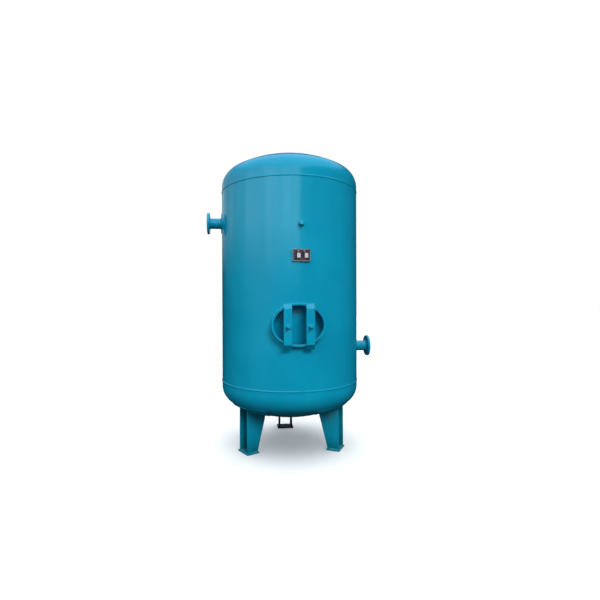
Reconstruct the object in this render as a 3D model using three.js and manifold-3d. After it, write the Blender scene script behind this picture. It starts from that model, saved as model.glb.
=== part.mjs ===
// Vertical air receiver on three plate legs, with an oval manway, two flanged nozzles and
// three plugged ports. Millimetres, +Z up, floor at Z = 0. The manway faces -Y; the nozzles
// point along -X and +X.

import * as THREE from 'three';
import { mergeVertices } from 'three/addons/utils/BufferGeometryUtils.js';
import Module from 'manifold-3d';

const wasm = await Module();
wasm.setup();

// ---- Driving dimensions ----

const GAP = 0.3;                    // clearance left between touching pieces
const ROUND_STEPS = 48;             // facets round the vessel
const NOZZLE_STEPS = 32;            // facets round a nozzle
const SMALL_STEPS = 24;             // facets round a small turned piece
const OVERCUT = 5;                  // how far a cutting shape runs past the face that it cuts
const WALL_CUT_START = 600;         // cuts through the shell's wall run between these distances
const WALL_CUT_END = 800;           // from the vessel's axis

const VESSEL_RADIUS = 708;          // outer
const WALL = 8;
const HEAD_CROWN_RADIUS = 1245;     // outer radius of the dish
const HEAD_KNUCKLE_RADIUS = 187;    // outer radius of its rounded edge
const HEAD_FLANGE = 52;             // straight edge of a head
const BOTTOM_SEAM_Z = 682;
const TOP_SEAM_Z = 2624;
const WELD_ROOT = 4;                // gap that a girth weld fills
const WELD_WIDTH = 14;
const WELD_HEIGHT = 2.4;
const WELD_PENETRATION = 1;         // how far a girth weld's root stands into the tank

const NOZZLE_REACH = 858;           // flange face from the vessel's axis
const OUTLET_Z = 2310;
const INLET_Z = 1014;

const MANWAY_Z = 1282;
const MANWAY_WIDTH = 450;           // clear opening
const MANWAY_HEIGHT = 350;
const MANWAY_WALL = 16;
const MANWAY_FACE = 758;            // front of the ring from the vessel's axis
const MANWAY_SEAT = 650;            // inner end of the ring from the vessel's axis
const STUD_DROP = 12;               // the studs sit a little below the middle of the opening
const STUD_SPREAD = 100;            // each stud's distance from the middle
const STUD_TIP = 860;

const PORT_OFFSET = 30;             // gauge port and nameplate sit to the right of the manway
const GAUGE_Z = 2189;
const NAMEPLATE_Z = 1905;

const LEG_ANGLES = { left: -60, right: 60, rear: 180 };
const LEG_OUTER = 566;
const LEG_INNER_BOTTOM = 448;
const LEG_INNER_TOP = 355;          // where the leaning edge would reach LEG_INNER_TOP_Z
const LEG_INNER_TOP_Z = 358;
const LEG_PLATE_SPACING = 139;
const BASE_THICKNESS = 14;

// The front reaches to the stud tips and the back to the long weld, so the axis sits behind the middle.
const REAR_REACH = VESSEL_RADIUS + GAP + WELD_HEIGHT;
const AXIS_Y = (STUD_TIP - REAR_REACH) / 2;

// ---- Materials ----

const paint = new THREE.MeshStandardMaterial({ color: 0x0a93b8, roughness: 0.35, metalness: 0.0 });
const blackPrimer = new THREE.MeshStandardMaterial({ color: 0x0b0c0d, roughness: 0.5, metalness: 0.0 });
const rubber = new THREE.MeshStandardMaterial({ color: 0x1b1b1c, roughness: 0.8, metalness: 0.0 });
const copper = new THREE.MeshStandardMaterial({ color: 0xb87348, roughness: 0.4, metalness: 1.0 });
const platePrint = new THREE.MeshStandardMaterial({ color: 0x14181c, roughness: 0.4, metalness: 0.3 });
const bareSteel = new THREE.MeshStandardMaterial({ color: 0xb9bcc0, roughness: 0.4, metalness: 1.0 });

// ---- Scene graph ----

const receiver = new THREE.Group();
const vessel = new THREE.Group();
vessel.position.y = AXIS_Y;
receiver.add(vessel);

function addPiece(name, geometry, material = paint, parent = vessel) {
  const piece = new THREE.Mesh(geometry, material.clone());
  piece.name = name;
  parent.add(piece);
  return piece;
}

// ---- Solids ----

function toSolid(geometry) {
  const bare = geometry.clone();
  bare.deleteAttribute('normal');
  bare.deleteAttribute('uv');
  const merged = mergeVertices(bare, 1e-4);
  return new wasm.Manifold(new wasm.Mesh({
    numProp: 3,
    vertProperties: Float32Array.from(merged.attributes.position.array),
    triVerts: Uint32Array.from(merged.index.array),
  }));
}

function toGeometry(solid) {
  const mesh = solid.getMesh();
  const geometry = new THREE.BufferGeometry();
  geometry.setAttribute('position', new THREE.BufferAttribute(Float32Array.from(mesh.vertProperties), 3));
  geometry.setIndex(new THREE.BufferAttribute(Uint32Array.from(mesh.triVerts), 1));
  return geometry;
}

function cut(geometry, ...tools) {
  return toGeometry(tools.reduce((solid, tool) => solid.subtract(toSolid(tool)), toSolid(geometry)));
}

function common(geometry, other) {
  return toGeometry(toSolid(geometry).intersect(toSolid(other)));
}

function joined(geometry, other) {
  return toGeometry(toSolid(geometry).add(toSolid(other)));
}

// A turned piece about Z: profile is a closed loop of [radius, z].
function turned(profile, steps = ROUND_STEPS) {
  const points = [...profile, profile[0]].map(([radius, z]) => new THREE.Vector2(radius, z));
  const area = THREE.ShapeUtils.area(points);
  if (area < 0) points.reverse();
  return new THREE.LatheGeometry(points, steps).rotateX(Math.PI / 2);
}

// A turned solid about Z whose profile [radius, z] starts and ends on the axis, from the bottom up.
function turnedSolid(profile, steps = ROUND_STEPS) {
  const points = profile.map(([radius, z]) => new THREE.Vector2(radius, z));
  return new THREE.LatheGeometry(points, steps).rotateX(Math.PI / 2);
}

function tube(outer, inner, bottom, top, steps) {
  return turned([[inner, bottom], [outer, bottom], [outer, top], [inner, top]], steps);
}

function rod(radius, bottom, top, steps = SMALL_STEPS) {
  return turnedSolid([[0, bottom], [radius, bottom], [radius, top], [0, top]], steps);
}

// Turn a shape made about Z so that its +Z points along -Y (the front), +X or -X.
const toFront = (geometry) => geometry.rotateX(Math.PI / 2);
const toRight = (geometry) => geometry.rotateY(Math.PI / 2);
const toLeft = (geometry) => geometry.rotateY(-Math.PI / 2);

function extruded(shape, depth, curveSegments = 12) {
  return new THREE.ExtrudeGeometry(shape, { depth, bevelEnabled: false, curveSegments });
}

function ellipseShape(width, height, holeWidth = 0, holeHeight = 0) {
  const shape = new THREE.Shape().absellipse(0, 0, width / 2, height / 2, 0, 2 * Math.PI);
  if (holeWidth > 0) {
    shape.holes.push(new THREE.Path().absellipse(0, 0, holeWidth / 2, holeHeight / 2, 0, 2 * Math.PI));
  }
  return shape;
}

function polygonShape(points) {
  return new THREE.Shape(points.map(([x, y]) => new THREE.Vector2(x, y)));
}

// A hexagonal bar about Z, across flats, with the corners of its top end chamfered.
function hexBar(acrossFlats, bottom, top) {
  const circumradius = acrossFlats / Math.sqrt(3);
  const corners = Array.from({ length: 6 }, (_, i) => {
    const angle = (i * Math.PI) / 3;
    return [circumradius * Math.cos(angle), circumradius * Math.sin(angle)];
  });
  const bar = extruded(polygonShape(corners), top - bottom).translate(0, 0, bottom);
  const chamfer = circumradius - acrossFlats / 2;
  const turnedBlank = turnedSolid([
    [0, bottom - OVERCUT],
    [circumradius + OVERCUT, bottom - OVERCUT],
    [circumradius + OVERCUT, top - chamfer],
    [acrossFlats / 2, top],
    [0, top],
  ], SMALL_STEPS);
  return common(bar, turnedBlank);
}

// ---- Dished heads ----

// The outer profile of a head, from the pole to the open edge, moved outwards by `offset`.
// Heights are above the seam. The dish and the knuckle are arcs that meet tangentially.
function headProfile(offset) {
  const knuckleCentreRadius = VESSEL_RADIUS - HEAD_KNUCKLE_RADIUS;
  const centreDistance = HEAD_CROWN_RADIUS - HEAD_KNUCKLE_RADIUS;
  const crownCentreDrop = Math.sqrt(centreDistance ** 2 - knuckleCentreRadius ** 2);
  const meetAngle = Math.asin(knuckleCentreRadius / centreDistance);
  const crownSteps = 4;
  const knuckleSteps = 4;
  const profile = [];
  for (let i = 0; i <= crownSteps; i += 1) {
    const angle = (meetAngle * i) / crownSteps;
    const radius = HEAD_CROWN_RADIUS + offset;
    profile.push([radius * Math.sin(angle), HEAD_FLANGE - crownCentreDrop + radius * Math.cos(angle)]);
  }
  for (let i = 1; i <= knuckleSteps; i += 1) {
    const angle = meetAngle + ((Math.PI / 2 - meetAngle) * i) / knuckleSteps;
    const radius = HEAD_KNUCKLE_RADIUS + offset;
    profile.push([knuckleCentreRadius + radius * Math.sin(angle), HEAD_FLANGE + radius * Math.cos(angle)]);
  }
  return profile;
}

// A head as a turned shell with a round hole at its pole, opening downwards from its seam at Z = 0.
function headShell(holeRadius) {
  const outer = headProfile(0);
  const inner = headProfile(-WALL);
  const edge = WELD_ROOT / 2;
  const shell = turned([
    [inner[0][0], inner[0][1]],
    ...inner.slice(1),
    [VESSEL_RADIUS - WALL, edge],
    [VESSEL_RADIUS, edge],
    ...outer.slice().reverse(),
  ].map(([radius, z]) => [Math.max(radius, holeRadius / 2), z]));
  return cut(shell, rod(holeRadius, 0, POLE_HEIGHT + OVERCUT, NOZZLE_STEPS));
}

const POLE_HEIGHT = headProfile(0)[0][1];
const TOP_POLE_Z = TOP_SEAM_Z + POLE_HEIGHT;
const BOTTOM_POLE_Z = BOTTOM_SEAM_Z - POLE_HEIGHT;

// The outside of the bottom head moved outwards by `offset`, as a solid up to its straight edge.
function bottomHeadSolid(offset) {
  const profile = headProfile(offset).map(([radius, z]) => [radius, BOTTOM_SEAM_Z - z]);
  return turnedSolid([...profile, [VESSEL_RADIUS + offset, BOTTOM_SEAM_Z], [0, BOTTOM_SEAM_Z]]);
}

// ---- Ports: a coupling through the wall, a sealing ring and a hexagon plug ----

const PORT_LEDGE = 2;               // the seal and collar are this much smaller in radius than the coupling
const SEAL_THICKNESS = 2;
const COLLAR_THICKNESS = 4;
const PLUG_HEAD_HEIGHT = 14;
const PLUG_LEAD_IN = 1;
const JOIN_DEPTH = 1;               // overlap of two shapes that are joined into one solid

function portPieces({ threadRadius, couplingRadius, inside, outside, hexFlats, shank }) {
  const flangeRadius = couplingRadius - PORT_LEDGE;
  const sealTop = outside + GAP + SEAL_THICKNESS;
  const headBottom = sealTop + GAP;
  const collarTop = headBottom + COLLAR_THICKNESS;
  const coupling = tube(couplingRadius, threadRadius + GAP, -inside, outside, SMALL_STEPS);
  const seal = tube(flangeRadius, threadRadius + 2 * GAP, outside + GAP, sealTop, SMALL_STEPS);
  const body = turnedSolid([
    [0, headBottom - shank],
    [threadRadius - PLUG_LEAD_IN, headBottom - shank],
    [threadRadius, headBottom - shank + PLUG_LEAD_IN],
    [threadRadius, headBottom],
    [flangeRadius, headBottom],
    [flangeRadius, collarTop],
    [0, collarTop],
  ], SMALL_STEPS);
  const plug = joined(body, hexBar(hexFlats, collarTop - JOIN_DEPTH, collarTop + PLUG_HEAD_HEIGHT));
  return { coupling, seal, plug };
}

// `inside` and `outside` are how far the coupling stands from the vessel's surface each way.
const SMALL_PORT = {
  threadRadius: 16.6,
  couplingRadius: 24,
  inside: 20,
  outside: 26,
  hexFlats: 36,
  shank: 19,
};
const LARGE_PORT = {
  threadRadius: 23.9,
  couplingRadius: 31,
  inside: 20,
  outside: 30,
  hexFlats: 50,
  shank: 22,
};

function addPort(name, size, place) {
  const pieces = portPieces(size);
  addPiece(`${name}_coupling`, place(pieces.coupling));
  addPiece(`${name}_seal`, place(pieces.seal), copper);
  addPiece(`${name}_plug`, place(pieces.plug));
}

// ---- Vessel ----

const NECK_RADIUS = 54;
const MANWAY_OUTER_WIDTH = MANWAY_WIDTH + 2 * MANWAY_WALL;
const MANWAY_OUTER_HEIGHT = MANWAY_HEIGHT + 2 * MANWAY_WALL;
const OVAL_STEPS = 20;

function shell() {
  const halfRoot = WELD_ROOT / 2;
  const plain = tube(VESSEL_RADIUS, VESSEL_RADIUS - WALL, BOTTOM_SEAM_Z + halfRoot, TOP_SEAM_Z - halfRoot);
  const neckTool = () => rod(NECK_RADIUS + GAP, WALL_CUT_START, WALL_CUT_END, NOZZLE_STEPS);
  const outletHole = toLeft(neckTool()).translate(0, 0, OUTLET_Z);
  const inletHole = toRight(neckTool()).translate(0, 0, INLET_Z);
  const gaugeTool = rod(SMALL_PORT.couplingRadius + GAP, WALL_CUT_START, WALL_CUT_END);
  const gaugeHole = toFront(gaugeTool).translate(PORT_OFFSET, 0, GAUGE_Z);
  const oval = ellipseShape(MANWAY_OUTER_WIDTH + 2 * GAP, MANWAY_OUTER_HEIGHT + 2 * GAP);
  const manwayTool = extruded(oval, WALL_CUT_END - WALL_CUT_START, OVAL_STEPS);
  const manwayHole = toFront(manwayTool.translate(0, 0, WALL_CUT_START)).translate(0, 0, MANWAY_Z);
  return cut(plain, outletHole, inletHole, gaugeHole, manwayHole);
}

function girthWeld(z) {
  const root = WELD_ROOT / 2 - GAP;
  const crown = WELD_WIDTH / 2;
  const surface = VESSEL_RADIUS + GAP;
  const inside = VESSEL_RADIUS - WALL - WELD_PENETRATION;
  const shoulder = Math.SQRT1_2;    // the crown is a flattened arc of four chords
  return turned([
    [inside, z - root],
    [surface, z - root],
    [surface, z - crown],
    [surface + WELD_HEIGHT * shoulder, z - crown * shoulder],
    [surface + WELD_HEIGHT, z],
    [surface + WELD_HEIGHT * shoulder, z + crown * shoulder],
    [surface, z + crown],
    [surface, z + root],
    [inside, z + root],
  ]);
}

// The lengthwise weld of the shell, a low bead up the back.
function longWeld() {
  const clear = WELD_WIDTH / 2 + GAP;
  const bead = polygonShape([
    [-WELD_WIDTH / 2, VESSEL_RADIUS + GAP],
    [WELD_WIDTH / 2, VESSEL_RADIUS + GAP],
    [WELD_WIDTH / 4, REAR_REACH],
    [-WELD_WIDTH / 4, REAR_REACH],
  ]);
  const length = TOP_SEAM_Z - BOTTOM_SEAM_Z - 2 * clear;
  return extruded(bead, length).translate(0, 0, BOTTOM_SEAM_Z + clear);
}

addPiece('shell', shell());
const topHead = headShell(LARGE_PORT.couplingRadius + GAP);
const bottomHead = headShell(SMALL_PORT.couplingRadius + GAP).rotateX(Math.PI);
addPiece('top_head', topHead.translate(0, 0, TOP_SEAM_Z));
addPiece('bottom_head', bottomHead.translate(0, 0, BOTTOM_SEAM_Z));
addPiece('top_girth_weld', girthWeld(TOP_SEAM_Z));
addPiece('bottom_girth_weld', girthWeld(BOTTOM_SEAM_Z));
addPiece('long_weld', longWeld());

// ---- Flanged nozzles ----

const NECK_BORE_RADIUS = 50;
const FLANGE_RADIUS = 110;
const FLANGE_THICKNESS = 22;
const FLANGE_HOLES = 8;
const FLANGE_HOLE_RADIUS = 9;
const FLANGE_HOLE_CIRCLE = 90;      // radius of the circle through the bolt holes
const PAD_RADIUS = 100;
const PAD_THICKNESS = 8;
const NECK_INSIDE = 10;             // how far a neck stands into the tank
const NECK_SETBACK = 3;             // how far it ends behind the flange's face
const BOLT_HOLE_STEPS = 10;

function nozzleFlange() {
  const back = NOZZLE_REACH - FLANGE_THICKNESS;
  const holes = Array.from({ length: FLANGE_HOLES }, (_, i) => {
    const angle = ((i + 0.5) * 2 * Math.PI) / FLANGE_HOLES;
    const hole = rod(FLANGE_HOLE_RADIUS, back - OVERCUT, NOZZLE_REACH + OVERCUT, BOLT_HOLE_STEPS);
    return hole.translate(FLANGE_HOLE_CIRCLE * Math.cos(angle), FLANGE_HOLE_CIRCLE * Math.sin(angle), 0);
  });
  return cut(tube(FLANGE_RADIUS, NECK_RADIUS + GAP, back, NOZZLE_REACH, ROUND_STEPS), ...holes);
}

// A ring of plate rolled to the shell, round the nozzle's neck.
function nozzlePad(turn) {
  const inside = VESSEL_RADIUS + GAP;
  const reach = PAD_RADIUS + OVERCUT;
  const collar = tube(inside + PAD_THICKNESS, inside, -reach, reach, 2 * ROUND_STEPS);
  const disc = turn(tube(PAD_RADIUS, NECK_RADIUS + GAP, WALL_CUT_START, WALL_CUT_END, NOZZLE_STEPS));
  return common(collar, disc);
}

function addNozzle(name, z, turn) {
  const innerEnd = VESSEL_RADIUS - WALL - NECK_INSIDE;
  const neck = tube(NECK_RADIUS, NECK_BORE_RADIUS, innerEnd, NOZZLE_REACH - NECK_SETBACK, NOZZLE_STEPS);
  addPiece(`${name}_pad`, nozzlePad(turn).translate(0, 0, z));
  addPiece(`${name}_neck`, turn(neck).translate(0, 0, z));
  addPiece(`${name}_flange`, turn(nozzleFlange()).translate(0, 0, z));
}

addNozzle('outlet', OUTLET_Z, toLeft);
addNozzle('inlet', INLET_Z, toRight);

// ---- Oval manway, closed from the inside ----

const GASKET_THICKNESS = 5;
const COVER_THICKNESS = 18;
const COVER_WIDTH = 490;
const COVER_HEIGHT = 392;
const STUD_RADIUS = 12;
const YOKE_WIDTH = 74;
const YOKE_DEPTH = 45;
const YOKE_LENGTH = 404;
const YOKE_END_CUT = 43;            // how much shorter the front of a yoke is at each end
const YOKE_HOLE_RADIUS = STUD_RADIUS + 2;
const WASHER_RADIUS = 25;
const WASHER_HOLE_RADIUS = STUD_RADIUS + 1;
const WASHER_THICKNESS = 5;
const NUT_FLATS = 36;
const NUT_HEIGHT = 21.5;

const manway = new THREE.Group();
manway.position.z = MANWAY_Z;
manway.rotation.x = Math.PI / 2;
vessel.add(manway);

// Inside the manway group +Z is the way out of the tank, +Y is up and +X is to the right.
function layered(geometry, front) {
  return geometry.translate(0, 0, front);
}

const gasketFront = MANWAY_SEAT - GAP;
const coverFront = gasketFront - GASKET_THICKNESS - GAP;
const ovalRing = ellipseShape(MANWAY_OUTER_WIDTH, MANWAY_OUTER_HEIGHT, MANWAY_WIDTH, MANWAY_HEIGHT);
const ring = extruded(ovalRing, MANWAY_FACE - MANWAY_SEAT, OVAL_STEPS);
const gasket = extruded(ovalRing, GASKET_THICKNESS, OVAL_STEPS);
const cover = extruded(ellipseShape(COVER_WIDTH, COVER_HEIGHT), COVER_THICKNESS, OVAL_STEPS);
addPiece('manway_ring', layered(ring, MANWAY_SEAT), paint, manway);
addPiece('cover_gasket', layered(gasket, gasketFront - GASKET_THICKNESS), rubber, manway);
addPiece('cover_plate', layered(cover, coverFront - COVER_THICKNESS), paint, manway);

// A bar with both ends cut back at about 45 degrees, bored for its stud. It lies along Y, with
// its back on the ring.
function yoke() {
  const half = YOKE_LENGTH / 2;
  const frontHalf = half - YOKE_END_CUT;
  const side = polygonShape([[-half, 0], [half, 0], [frontHalf, YOKE_DEPTH], [-frontHalf, YOKE_DEPTH]]);
  const bar = extruded(side, YOKE_WIDTH).translate(0, 0, -YOKE_WIDTH / 2);
  bar.rotateX(Math.PI / 2).rotateZ(Math.PI / 2);
  return cut(bar, rod(YOKE_HOLE_RADIUS, -OVERCUT, YOKE_DEPTH + OVERCUT));
}

const yokeBack = MANWAY_FACE + GAP;
const washerBack = yokeBack + YOKE_DEPTH + GAP;
const nutBack = washerBack + WASHER_THICKNESS + GAP;

for (const [side, x] of [['left', -STUD_SPREAD], ['right', STUD_SPREAD]]) {
  const clamp = new THREE.Group();
  clamp.position.set(x, -STUD_DROP, 0);
  manway.add(clamp);
  const washer = tube(WASHER_RADIUS, WASHER_HOLE_RADIUS, 0, WASHER_THICKNESS, SMALL_STEPS);
  const nut = cut(hexBar(NUT_FLATS, 0, NUT_HEIGHT), rod(STUD_RADIUS + GAP, -OVERCUT, NUT_HEIGHT + OVERCUT));
  addPiece(`stud_${side}`, rod(STUD_RADIUS, coverFront + GAP, STUD_TIP), paint, clamp);
  addPiece(`yoke_${side}`, layered(yoke(), yokeBack), paint, clamp);
  addPiece(`washer_${side}`, layered(washer, washerBack), paint, clamp);
  addPiece(`nut_${side}`, layered(nut, nutBack), paint, clamp);
}

// ---- Ports ----

function onTheFront(piece) {
  return toFront(piece.translate(0, 0, VESSEL_RADIUS)).translate(PORT_OFFSET, 0, GAUGE_Z);
}

addPort('gauge', SMALL_PORT, onTheFront);
addPort('safety', LARGE_PORT, (piece) => piece.translate(0, 0, TOP_POLE_Z));
addPort('drain', SMALL_PORT, (piece) => piece.rotateX(Math.PI).translate(0, 0, BOTTOM_POLE_Z));

// ---- Nameplate on its bracket ----

const NAMEPLATE_WIDTH = 164;
const NAMEPLATE_HEIGHT = 112;
const NAMEPLATE_THICKNESS = 1.5;
const NAMEPLATE_CORNER = 6;
const NAMEPLATE_INSET = 1;          // the plate's edge from the bracket's edge
const BRACKET_FACE = VESSEL_RADIUS + 16;
const BRACKET_THICKNESS = 2;
const BRACKET_DEPTH = 36;           // length of its folded ends before they are cut to the shell
const RIVET_HEAD = [[0, 0], [3.8, 0], [2.6, 1.5], [0, 2]];
const RIVET_STEPS = 12;
const RIVET_INSET = 8;

const badge = new THREE.Group();
badge.position.set(PORT_OFFSET, 0, NAMEPLATE_Z);
badge.rotation.x = Math.PI / 2;
vessel.add(badge);

// A plate folded back at both ends to stand on the shell.
function bracket() {
  const half = NAMEPLATE_WIDTH / 2;
  const inner = half - BRACKET_THICKNESS;
  const back = BRACKET_FACE - BRACKET_THICKNESS;
  const footing = BRACKET_FACE - BRACKET_DEPTH;
  const section = polygonShape([
    [-half, footing], [-inner, footing], [-inner, back], [inner, back],
    [inner, footing], [half, footing], [half, BRACKET_FACE], [-half, BRACKET_FACE],
  ]);
  const folded = extruded(section, NAMEPLATE_HEIGHT).translate(0, 0, -NAMEPLATE_HEIGHT / 2);
  folded.rotateX(Math.PI / 2);
  const vesselBody = rod(VESSEL_RADIUS + GAP, -NAMEPLATE_HEIGHT, NAMEPLATE_HEIGHT, 4 * ROUND_STEPS);
  vesselBody.rotateX(-Math.PI / 2).translate(-PORT_OFFSET, 0, 0);
  return cut(folded, vesselBody);
}

function roundedPlate(width, height, corner, depth) {
  const w = width / 2;
  const h = height / 2;
  const shape = new THREE.Shape();
  shape.moveTo(-w + corner, -h);
  shape.lineTo(w - corner, -h);
  shape.absarc(w - corner, corner - h, corner, -Math.PI / 2, 0, false);
  shape.absarc(w - corner, h - corner, corner, 0, Math.PI / 2, false);
  shape.absarc(corner - w, h - corner, corner, Math.PI / 2, Math.PI, false);
  shape.absarc(corner - w, corner - h, corner, Math.PI, 1.5 * Math.PI, false);
  return extruded(shape, depth, 4);
}

addPiece('nameplate_bracket', bracket(), paint, badge);
const plateBack = BRACKET_FACE + GAP;
const plate = roundedPlate(
  NAMEPLATE_WIDTH - 2 * NAMEPLATE_INSET,
  NAMEPLATE_HEIGHT - 2 * NAMEPLATE_INSET,
  NAMEPLATE_CORNER,
  NAMEPLATE_THICKNESS,
);
addPiece('nameplate', layered(plate, plateBack), platePrint, badge);
const rivetBack = plateBack + NAMEPLATE_THICKNESS + GAP;
for (const [column, x] of [['left', -1], ['right', 1]]) {
  for (const [row, y] of [['bottom', -1], ['top', 1]]) {
    const dome = turnedSolid(RIVET_HEAD, RIVET_STEPS);
    const rivet = addPiece(`rivet_${row}_${column}`, layered(dome, rivetBack), bareSteel, badge);
    rivet.position.set(x * (NAMEPLATE_WIDTH / 2 - RIVET_INSET), y * (NAMEPLATE_HEIGHT / 2 - RIVET_INSET), 0);
  }
}

// ---- Legs: two gusset plates on a base plate, welded to a pad on the bottom head ----

const LEG_PAD_WIDTH = 230;
const LEG_PAD_INNER = 325;
const LEG_PAD_OUTER = 612;
const LEG_PAD_THICKNESS = 8;
const GUSSET_THICKNESS = 12;
const GUSSET_TOP = 520;
const BASE_INNER = 440;
const BASE_OUTER = 574;
const BASE_WIDTH = 184;
const ANCHOR_HOLE_RADIUS = 14;

// A block between two radii along the leg's direction (-Y) and across a width.
function legBlock(inner, outer, width, bottom, top) {
  const half = width / 2;
  const outline = polygonShape([[-half, -outer], [half, -outer], [half, -inner], [-half, -inner]]);
  return extruded(outline, top - bottom).translate(0, 0, bottom);
}

function legPad(turn) {
  const skin = cut(bottomHeadSolid(GAP + LEG_PAD_THICKNESS), bottomHeadSolid(GAP));
  const block = legBlock(LEG_PAD_INNER, LEG_PAD_OUTER, LEG_PAD_WIDTH, BOTTOM_POLE_Z, GUSSET_TOP);
  return common(skin, block.rotateZ(turn));
}

// A plate whose outer edge is upright and whose inner edge leans in towards the head.
function gusset(turn, across) {
  const bottom = BASE_THICKNESS + GAP;
  const lean = (LEG_INNER_BOTTOM - LEG_INNER_TOP) / (LEG_INNER_TOP_Z - bottom);
  const innerTop = LEG_INNER_BOTTOM - lean * (GUSSET_TOP - bottom);
  const outline = polygonShape([
    [LEG_INNER_BOTTOM, bottom], [LEG_OUTER, bottom], [LEG_OUTER, GUSSET_TOP], [innerTop, GUSSET_TOP],
  ]);
  const blank = extruded(outline, GUSSET_THICKNESS).translate(0, 0, -GUSSET_THICKNESS / 2);
  blank.rotateX(Math.PI / 2).rotateZ(-Math.PI / 2).translate(across, 0, 0).rotateZ(turn);
  return cut(blank, bottomHeadSolid(2 * GAP + LEG_PAD_THICKNESS));
}

function basePlate(turn) {
  const block = legBlock(BASE_INNER, BASE_OUTER, BASE_WIDTH, 0, BASE_THICKNESS);
  const hole = rod(ANCHOR_HOLE_RADIUS, -OVERCUT, BASE_THICKNESS + OVERCUT);
  hole.translate(0, -(BASE_INNER + BASE_OUTER) / 2, 0);
  return cut(block, hole).rotateZ(turn);
}

for (const [name, angle] of Object.entries(LEG_ANGLES)) {
  const turn = THREE.MathUtils.degToRad(angle);
  const finish = name === 'rear' ? blackPrimer : paint;
  addPiece(`leg_${name}_pad`, legPad(turn));
  addPiece(`leg_${name}_gusset_a`, gusset(turn, -LEG_PLATE_SPACING / 2), finish);
  addPiece(`leg_${name}_gusset_b`, gusset(turn, LEG_PLATE_SPACING / 2), finish);
  addPiece(`leg_${name}_base`, basePlate(turn), finish);
}

// ---- Lifting lugs on the top head ----

const LUG_X = 420;                  // from the vessel's axis
const LUG_Y = 60;
const LUG_THICKNESS = 14;
const LUG_HEIGHT = 66;              // above the head, at the lug's middle
const LUG_WIDTH = 90;
const LUG_TIP_RADIUS = 34;
const LUG_TIP_START = 0.25;         // radians above level where the rounded tip begins
const LUG_ROOT = 40;                // depth below the head's surface before it is cut to fit
const LUG_HOLE_RADIUS = 16;

// The outside of the top head moved outwards by the usual gap, as a solid.
function topHeadSolid() {
  return bottomHeadSolid(GAP).translate(0, 0, -BOTTOM_SEAM_Z).rotateX(Math.PI).translate(0, 0, TOP_SEAM_Z);
}

function liftingLug(x, y) {
  const crownDrop = HEAD_CROWN_RADIUS - Math.sqrt(HEAD_CROWN_RADIUS ** 2 - x * x - y * y);
  const surface = TOP_POLE_Z - crownDrop;
  const w = LUG_WIDTH / 2;
  const shape = new THREE.Shape();
  const holeHeight = LUG_HEIGHT - LUG_TIP_RADIUS;
  shape.moveTo(-w, -LUG_ROOT);
  shape.lineTo(w, -LUG_ROOT);
  shape.lineTo(w, 0);
  shape.absarc(0, holeHeight, LUG_TIP_RADIUS, LUG_TIP_START, Math.PI - LUG_TIP_START, false);
  shape.lineTo(-w, 0);
  shape.holes.push(new THREE.Path().absarc(0, holeHeight, LUG_HOLE_RADIUS, 0, 2 * Math.PI, true));
  const blank = extruded(shape, LUG_THICKNESS, 8).translate(0, 0, -LUG_THICKNESS / 2);
  blank.rotateX(Math.PI / 2).rotateZ(Math.atan2(y, x)).translate(x, y, surface);
  return cut(blank, topHeadSolid());
}

addPiece('lifting_lug_left', liftingLug(-LUG_X, LUG_Y));
addPiece('lifting_lug_right', liftingLug(LUG_X, LUG_Y));

export default receiver;
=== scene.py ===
# Looks for a vertical air receiver tank: smooth pieces, paint, welds, nameplate, floor, light and camera.
# Metres, +Z up. The tank's front, with its manway, faces -Y.

import math
import random

import bmesh
import bpy
from mathutils import Matrix, Vector, noise


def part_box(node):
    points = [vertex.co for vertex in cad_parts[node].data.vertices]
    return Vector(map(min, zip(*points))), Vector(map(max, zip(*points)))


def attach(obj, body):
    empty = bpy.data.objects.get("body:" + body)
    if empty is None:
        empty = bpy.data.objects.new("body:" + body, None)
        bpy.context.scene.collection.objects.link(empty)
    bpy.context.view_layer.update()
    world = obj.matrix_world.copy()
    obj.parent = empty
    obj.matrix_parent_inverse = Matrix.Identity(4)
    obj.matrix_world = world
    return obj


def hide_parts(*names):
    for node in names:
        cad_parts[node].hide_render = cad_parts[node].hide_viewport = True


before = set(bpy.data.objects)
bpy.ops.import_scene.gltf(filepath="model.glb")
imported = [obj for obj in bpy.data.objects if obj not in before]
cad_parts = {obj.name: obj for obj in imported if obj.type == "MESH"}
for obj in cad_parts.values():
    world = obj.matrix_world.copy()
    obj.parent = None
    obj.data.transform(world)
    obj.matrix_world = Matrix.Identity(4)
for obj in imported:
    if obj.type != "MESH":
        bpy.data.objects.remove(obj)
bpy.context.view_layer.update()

# ---- Sizes taken from the frame ----

def low_corner(node):
    return Vector(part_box(node)[0])


def high_corner(node):
    return Vector(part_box(node)[1])


def middle(node):
    return (low_corner(node) + high_corner(node)) / 2


def size_of(node):
    return high_corner(node) - low_corner(node)


AXIS = middle("shell")
RADIUS = size_of("shell").x / 2
TOP_SEAM = middle("top_girth_weld").z
BOTTOM_SEAM = middle("bottom_girth_weld").z
BOTTOM_POLE = low_corner("bottom_head").z
TOP_POLE = high_corner("top_head").z
MANWAY = middle("manway_ring")
RING_WIDTH = size_of("manway_ring").x
RING_HEIGHT = size_of("manway_ring").z
NECK_RADIUS = size_of("outlet_neck").z / 2
OUTLET = middle("outlet_neck")
INLET = middle("inlet_neck")
GAUGE = middle("gauge_coupling")
GAUGE_RADIUS = size_of("gauge_coupling").x / 2
PLATE = middle("nameplate")
PLATE_WIDTH = size_of("nameplate").x
PLATE_HEIGHT = size_of("nameplate").z

# ---- Sizes that the boxes of the nodes don't give ----

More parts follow.
